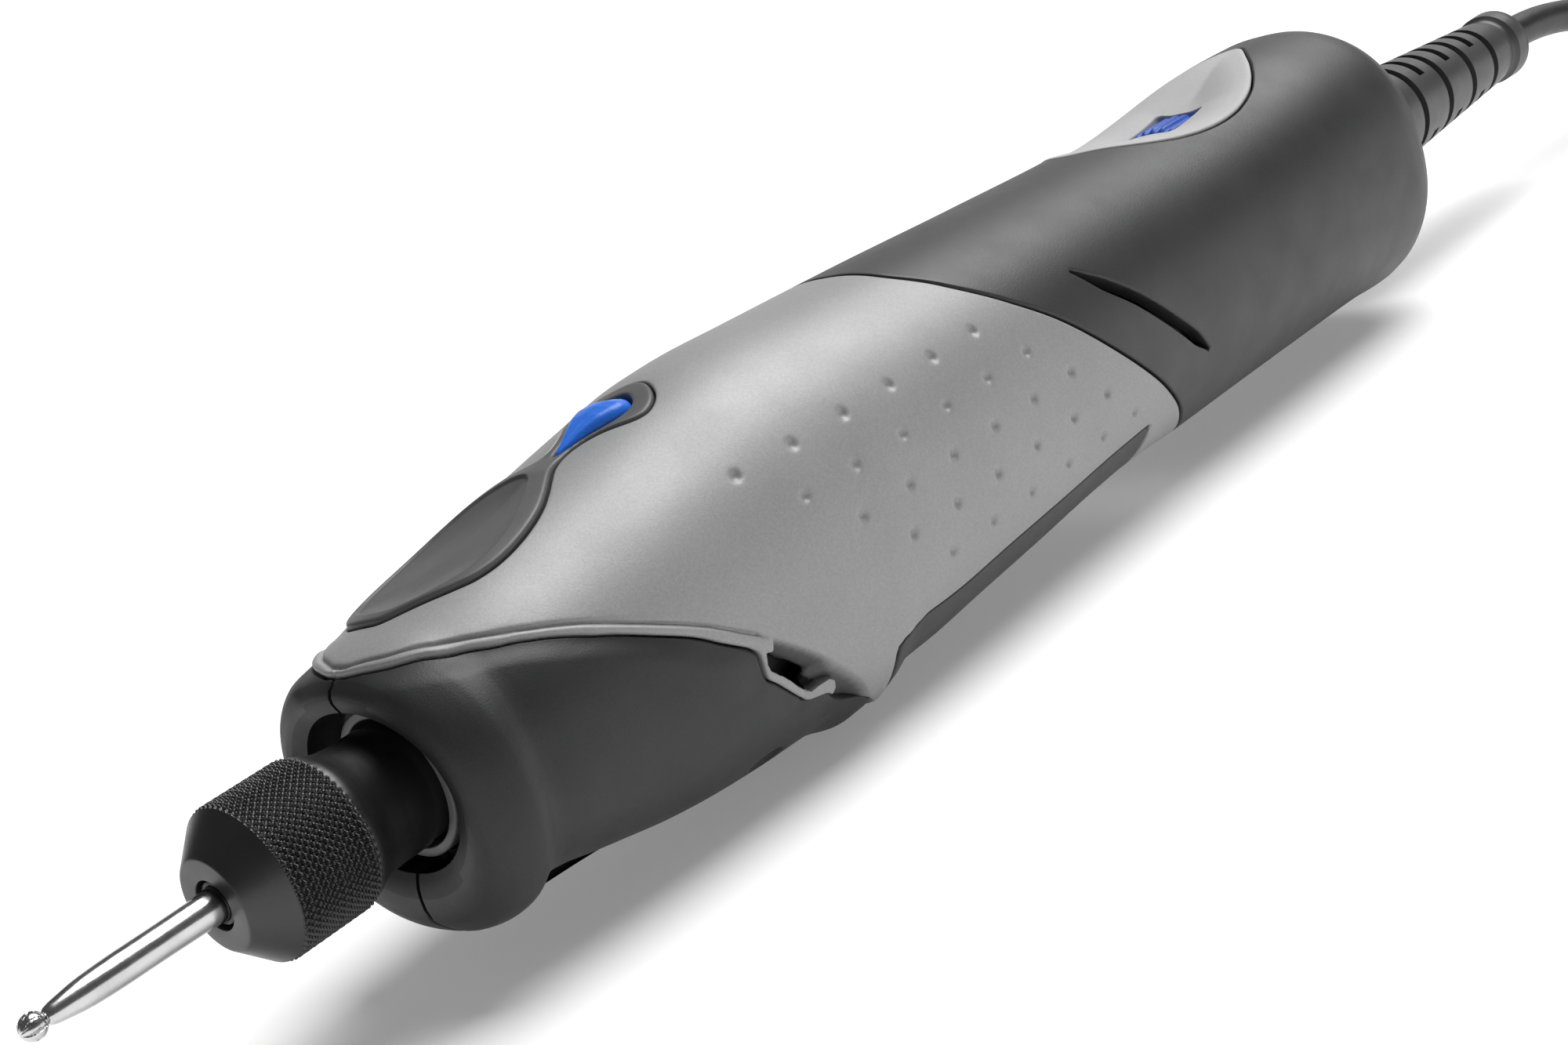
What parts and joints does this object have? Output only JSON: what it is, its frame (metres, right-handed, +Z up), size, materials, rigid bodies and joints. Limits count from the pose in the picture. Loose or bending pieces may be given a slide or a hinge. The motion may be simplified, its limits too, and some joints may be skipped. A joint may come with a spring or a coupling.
{
  "type": "rotary engraving tool",
  "caption": "Pen-type rotary engraving tool with the motor in its grip, collet nut and ball burr, lock button, speed wheel, cord and plug-in power supply.",
  "frame": {"origin": "Centre of the tool's length and width, on the surface it lies on", "axes": "+X from the burr towards the cord, +Z up through the lock button and the speed wheel, +Y across the tool"},
  "size_m": [0.524, 0.0468, 0.0411],
  "materials": {
    "dark_body": "fine satin texture",
    "silver_body": "satin metallic paint over plastic",
    "soft_pad": "soft matte",
    "silver_trim": "semi-gloss silver paint",
    "blue_control": "moulded, satin",
    "black_nut": "smooth with a knurled band",
    "black_metal": "black oxide",
    "steel": "ground",
    "chrome_steel": "polished",
    "aluminium": "turned",
    "copper": "enamelled winding",
    "magnet": "sintered",
    "board_green": "solder mask",
    "inner_plastic": "moulded",
    "white_plastic": "moulded",
    "cord_rubber": "smooth matte",
    "relief_rubber": "soft, satin",
    "pin_brass": "polished"
  },
  "bodies": {
    "housing": {"nose_left": "dark_body", "nose_right": "dark_body", "grip_cover": "silver_body", "belly_panel": "dark_body", "rear_housing": "dark_body", "finger_pad": "soft_pad", "dial_bezel": "silver_trim", "front_ring": "aluminium", "spindle_barrel": "aluminium", "front_bearing": "chrome_steel", "rear_bearing": "chrome_steel", "motor_frame": "inner_plastic", "motor_can": "steel", "motor_magnets": "magnet", "motor_end_cap": "inner_plastic", "brushes": "copper", "circuit_board": "board_green", "potentiometer": "inner_plastic", "inner_cord": "cord_rubber", "cord_clamp": "inner_plastic", "housing_screws": "black_metal", "strain_relief": "relief_rubber", "lock_spring": "steel", "cord_lead": "cord_rubber", "cord_hank": "cord_rubber", "hank_tie": "relief_rubber", "cord_tail": "cord_rubber", "adapter_body": "dark_body", "adapter_pins": "pin_brass"},
    "rotor": {"spindle": "black_metal", "collet": "chrome_steel", "lock_disc": "steel", "coupling": "white_plastic", "motor_shaft": "steel", "armature": "copper", "fan": "white_plastic"},
    "nut": {"collet_nut": "black_nut"},
    "bit": {"burr": "steel"},
    "button": {"lock_button": "blue_control", "lock_pin": "steel"},
    "dial": {"speed_wheel": "blue_control"}
  },
  "joints": [
    {"name": "spindle_spin", "type": "hinge", "parent": "housing", "child": "rotor", "pos_m": [0, 0, 0.0195], "axis": [1, 0, 0], "continuous": true},
    {"name": "nut_turn", "type": "hinge", "parent": "rotor", "child": "nut", "pos_m": [0, 0, 0.0195], "axis": [1, 0, 0], "range_deg": [0, 360]},
    {"name": "bit_slide", "type": "slide", "parent": "rotor", "child": "bit", "axis": [-1, 0, 0], "range_m": [0, 0.019]},
    {"name": "lock_press", "type": "slide", "parent": "housing", "child": "button", "axis": [0, 0, -1], "range_m": [0, 0.0022], "stiffness_N_per_m": 600, "springref_m": -0.001, "deforming": ["lock_spring"]},
    {"name": "speed_turn", "type": "hinge", "parent": "housing", "child": "dial", "pos_m": [0.0445, 0, 0.0284], "axis": [1, 0, 0], "range_deg": [0, 240]}
  ]
}
